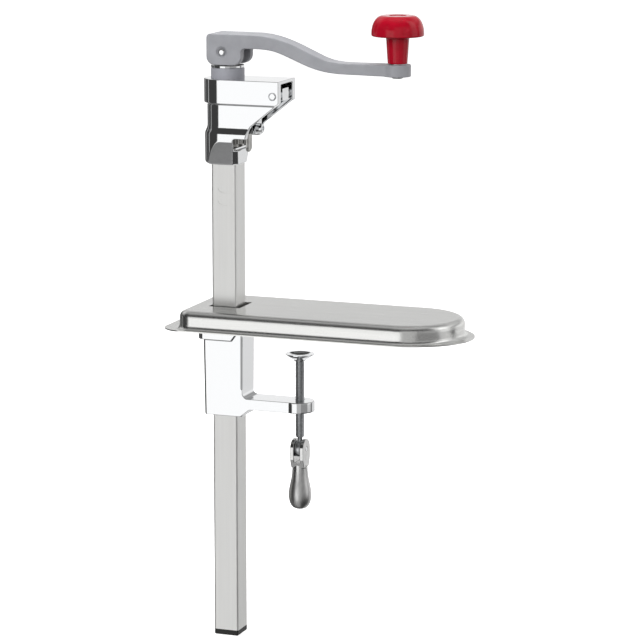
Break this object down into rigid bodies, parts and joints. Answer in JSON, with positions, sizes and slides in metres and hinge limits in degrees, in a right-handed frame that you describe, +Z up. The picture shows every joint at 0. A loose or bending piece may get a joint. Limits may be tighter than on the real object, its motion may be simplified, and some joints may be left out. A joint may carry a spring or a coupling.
{
  "type": "manual can opener",
  "caption": "Table-edge can opener: square bar sliding in a screw clamp, cast head with blade and toothed wheel, crank with mushroom knob, steel tray.",
  "frame": {"origin": "on the square bar's axis, in the plane of the table top that the clamp sits on", "axes": "+X along the tray, away from the bar; +Y to the back; +Z up along the bar"},
  "size_m": [0.3015, 0.12, 0.6222],
  "materials": {
    "brushed_stainless": "brushed stainless steel",
    "polished_chrome": "polished chrome plate",
    "grey_enamel": "satin grey paint on a casting",
    "red_plastic": "gloss moulded plastic",
    "grey_nylon": "moulded nylon",
    "black_plastic": "moulded plastic",
    "tool_steel": "ground hardened steel",
    "zinc_steel": "bright zinc plate",
    "cast_aluminium": "as cast",
    "bronze": "sintered bronze"
  },
  "bodies": {
    "clamp": {"clamp_frame": "polished_chrome", "jaw_plate": "cast_aluminium", "upper_guide_bush": "grey_nylon", "lower_guide_bush": "grey_nylon", "friction_pad": "grey_nylon", "friction_spring": "zinc_steel", "friction_screw": "zinc_steel", "tray_cover": "brushed_stainless", "tray_support": "cast_aluminium", "support_bolts": "zinc_steel", "tray_studs": "zinc_steel", "tray_nuts": "zinc_steel"},
    "bar": {"bar": "brushed_stainless", "bar_end_cap": "black_plastic", "bar_top_plug": "tool_steel", "head_casting": "polished_chrome", "head_screws": "zinc_steel", "blade_holder": "polished_chrome", "blade": "tool_steel", "blade_screw": "polished_chrome", "blade_cross_pin": "polished_chrome", "spindle_collar": "grey_nylon", "lower_spindle_bush": "bronze"},
    "crank": {"crank_arm": "grey_enamel", "crank_cross_pin": "polished_chrome", "spindle": "tool_steel", "drive_wheel": "tool_steel", "wheel_screw": "zinc_steel", "thrust_washer": "polished_chrome", "knob_pin": "zinc_steel", "knob_washer": "zinc_steel"},
    "knob": {"knob": "red_plastic", "knob_cap": "red_plastic"},
    "pad": {"clamp_pad": "polished_chrome"},
    "screw": {"clamp_screw": "polished_chrome"},
    "lever": {"tightening_lever": "polished_chrome", "lever_pin": "polished_chrome"}
  },
  "joints": [
    {"name": "bar_slide", "type": "slide", "parent": "clamp", "child": "bar", "axis": [0, 0, 1], "range_m": [-0.135, 0.215]},
    {"name": "crank_spin", "type": "hinge", "parent": "bar", "child": "crank", "pos_m": [0, 0, 0.255], "axis": [0, 0, 1], "continuous": true},
    {"name": "knob_spin", "type": "hinge", "parent": "crank", "child": "knob", "pos_m": [0.1736, 0, 0.285], "axis": [0, 0, 1], "continuous": true},
    {"name": "pad_slide", "type": "slide", "parent": "clamp", "child": "pad", "axis": [0, 0, 1], "range_m": [-0.036, 0.0205]},
    {"name": "screw_spin", "type": "hinge", "parent": "pad", "child": "screw", "pos_m": [0.0743, 0, -0.07], "axis": [0, 0, 1], "range_deg": [-8641, 4921]},
    {"name": "lever_fold", "type": "hinge", "parent": "screw", "child": "lever", "pos_m": [0.0743, 0, -0.12], "axis": [1, 0, 0], "range_deg": [-90, 90]}
  ],
  "couplings": [
    {"joint": "screw_spin", "follows": "pad_slide", "rad_per_m": 4188.8}
  ]
}
